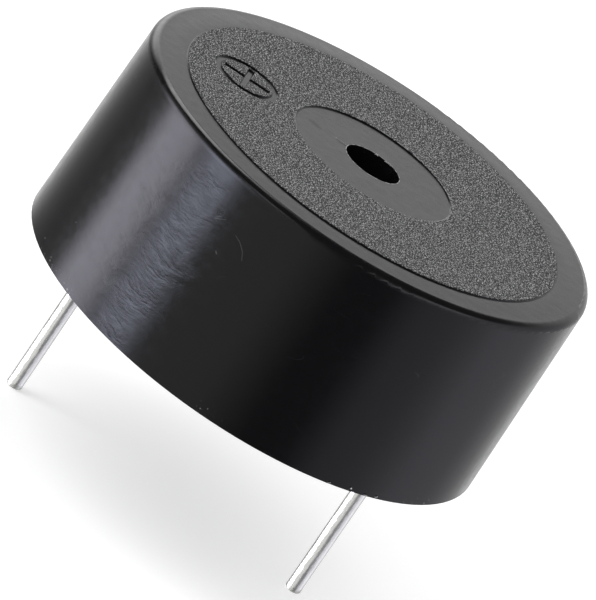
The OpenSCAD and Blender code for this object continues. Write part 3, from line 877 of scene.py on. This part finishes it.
# %% Place the flakes
random.seed(7)
add_burrs("hole_burrs", [
    (99, hole_r + 0.02, top_z - 0.035, 172, 8, 0.19, 0.19),
    (77, hole_r + 0.02, top_z - 0.035, 188, 6, 0.22, 0.17),
    (69, hole_r + 0.02, top_z - 0.03, 196, 8, 0.16, 0.20),
])
rim_r = wall_foot_r - 0.03
add_burrs("rim_burrs", [
    (-52.2, rim_r, 0.04, 25, 12, 0.14, 0.12),
    (-46.2, rim_r, 0.12, -40, 20, 0.17, 0.10),
    (-41.9, rim_r, 0.05, 10, 6, 0.12, 0.16),
    (-39.1, rim_r, 0.08, 55, 15, 0.15, 0.09),
])

# %% [markdown]
# ## Studio
# A shiny black part shows little of its own colour. What is seen on it is the room, so
# the room is drawn with care: white sides and a white sweep behind, two soft boxes at
# the left, a dark slot in front where the camera stands, and a dark ceiling. Mirror
# rays see that room. The camera sees plain white, and matt surfaces get an even light.
# A direction in the room is told by its azimuth and its elevation.


# %% Directions in the room
def facing(tree):
    """Azimuth and elevation of a direction in the room, in degrees."""
    direction = node(tree, "TexCoord", {}).outputs["Generated"]
    x, y, z = node(tree, "SeparateXYZ", {0: direction}).outputs
    azimuth = calc(tree, "DEGREES", calc(tree, "ARCTAN2", y, x))
    elevation = calc(tree, "DEGREES", calc(tree, "ARCSINE", z))
    return azimuth, elevation


def panel(tree, azimuth, elevation, centre, half_width, low, high, edge):
    """1 on a panel: its centre, half width, low and high edge, softness, in degrees."""
    turned = calc(tree, "SUBTRACT", azimuth, centre)
    across = calc(tree, "ABSOLUTE", calc(tree, "WRAP", turned, 180.0, -180.0))
    inside = step(tree, across, half_width - edge, half_width + edge, 1.0, 0.0)
    return both(tree, inside, band(tree, elevation, low, high, edge))


print("room helpers are ready")

# %% [markdown]
# All round the room the brightness follows a ring of stops. The front lies at azimuth
# -85 degrees, with the dark slot just right of it, and the sweep behind at 95. The right
# side is slightly cool, as shaded white walls are, so each stop has a grey and a blue.

# %% Ring of the room
# Azimuth in degrees, grey and blue.
ROOM = [
    (-180, 0.80, 0.80), (-115, 0.70, 0.70), (-90, 0.68, 0.68), (-65, 0.10, 0.12),
    (-45, 0.12, 0.14), (-28, 0.62, 0.70), (-10, 0.68, 0.76), (15, 1.0, 1.12),
    (40, 0.58, 0.62), (58, 0.60, 0.62), (75, 0.90, 0.90), (108, 1.0, 1.0),
    (134, 0.36, 0.36), (155, 0.26, 0.27), (180, 0.80, 0.80),
]


def room_ring(tree, azimuth):
    share = node(tree, "MapRange", {"Value": azimuth, "From Min": -180.0, "From Max": 180.0})
    ramp = node(tree, "ValToRGB", {0: share.outputs[0]})
    stops = ramp.color_ramp.elements
    for angle, *_ in ROOM[1:-1]:
        stops.new((angle + 180) / 360)
    for stop, (angle, grey, blue) in zip(stops, ROOM):
        stop.position = (angle + 180) / 360
        stop.color = (grey, grey, blue, 1)
    return ramp.outputs[0]


print("the room has", len(ROOM), "stops all round")

# %% [markdown]
# The ceiling and the panels come on top of the ring. The first two panels are the soft
# boxes. Then come a dark gap at the back left, the brighter part of the sweep beside it
# and a lit screen above. The last two are small and hang high at the sides of the
# camera: they draw the thin light line along the rounded edge.

# %% World
# Centre, half width, low and high edge and softness in degrees, and colour.
PANELS = [
    (-170, 13, -70, 14, 8, (5.7, 5.6, 6.4, 1)),
    (-140.5, 10, -20, 18, 6, (6.8, 7.1, 8.8, 1)),
    (150, 17, -2, 30, 5, (0.03, 0.03, 0.03, 1)),
    (120, 17, 4, 27, 10, (2.3, 2.3, 2.3, 1)),
    (128, 22, 35, 62, 3, (5.2, 5.2, 5.2, 1)),
    (-20, 24, 24, 34, 3, (2.4, 2.4, 2.5, 1)),
    (-117, 12, 30, 42, 3, (2.4, 2.4, 2.5, 1)),
]


def studio_world():
    world = bpy.data.worlds.new("studio")
    world.use_nodes = True
    world.cycles.sampling_method = "NONE"
    tree = world.node_tree
    azimuth, elevation = facing(tree)
    ceiling = step(tree, elevation, 27, 41)
    colour = blend(tree, ceiling, room_ring(tree, azimuth), (0.12, 0.12, 0.13, 1))
    for *shape, glow in PANELS:
        colour = blend(tree, panel(tree, azimuth, elevation, *shape), colour, glow)
    rays = node(tree, "LightPath", {})
    mirrored = calc(tree, "MAXIMUM", rays.outputs["Is Glossy Ray"],
                    rays.outputs["Is Transmission Ray"])
    colour = blend(tree, mirrored, (0.8, 0.8, 0.8, 1), colour)
    colour = blend(tree, rays.outputs["Is Camera Ray"], colour, (1, 1, 1, 1))
    tree.links.new(colour, tree.nodes["Background"].inputs["Color"])
    bpy.context.scene.world = world
    print("the room has", len(PANELS), "panels")


studio_world()

# %% [markdown]
# The floor is pale and lies under the tips of the pins. To the camera it is white, apart
# from the part's soft shadow. It is left out of mirror rays, which see the room below
# the horizon in its place, and it is clear from below, so that the sealed end can be
# looked at too. A faint glow of its own lifts its matt grey to white.

# %% Floor
floor_gap = 0.01
floor_glow = 0.48
floor_z = (pin_tip_z - floor_gap) * MM
floor_mesh = bmesh.new()
bmesh.ops.create_grid(floor_mesh, x_segments=1, y_segments=1, size=2.0)
bmesh.ops.translate(floor_mesh, verts=floor_mesh.verts, vec=(0, 0, floor_z))
floor = bpy.data.objects.new("floor", bpy.data.meshes.new("floor"))
floor_mesh.to_mesh(floor.data)
floor_mesh.free()
bpy.context.scene.collection.objects.link(floor)
floor.visible_glossy = False


def pale_floor():
    material = bpy.data.materials.new("pale_floor")
    material.use_nodes = True
    tree = material.node_tree
    tree.nodes.remove(tree.nodes["Principled BSDF"])
    matt = node(tree, "BsdfDiffuse", {"Color": (0.8, 0.8, 0.8, 1)}).outputs[0]
    rays = node(tree, "LightPath", {})
    lift = calc(tree, "MULTIPLY", rays.outputs["Is Camera Ray"], floor_glow)
    glow = node(tree, "Emission", {"Color": (1, 1, 1, 1), "Strength": lift}).outputs[0]
    white = node(tree, "AddShader", {0: matt, 1: glow}).outputs[0]
    clear = node(tree, "BsdfTransparent", {}).outputs[0]
    below = node(tree, "NewGeometry", {}).outputs["Backfacing"]
    shown = node(tree, "MixShader", {0: below, 1: white, 2: clear}).outputs[0]
    tree.links.new(shown, tree.nodes["Material Output"].inputs["Surface"])
    return material


floor.data.materials.append(pale_floor())
print("floor at, mm:", round(floor_z / MM, 2))

# %% [markdown]
# One soft lamp from the upper left gives the part its shadow and models its matt
# surfaces. It is large for the size of the part, so the shadow has no hard edge, and it
# stays out of mirror rays, because the room already gives the shine.

# %% Lamp
lamp_place = Vector((-0.35, -0.25, 0.45))
light = bpy.data.lights.new("key_lamp", "AREA")
light.size = 0.3
light.energy = 1.2
lamp = bpy.data.objects.new("key_lamp", light)
bpy.context.scene.collection.objects.link(lamp)
lamp.location = lamp_place
lamp.rotation_mode = "QUATERNION"
lamp.rotation_quaternion = (aim - lamp_place).to_track_quat("-Z", "Y")
lamp.visible_glossy = False
lamp.visible_camera = False
print("lamp, metres from the part:", round((aim - lamp_place).length, 2))
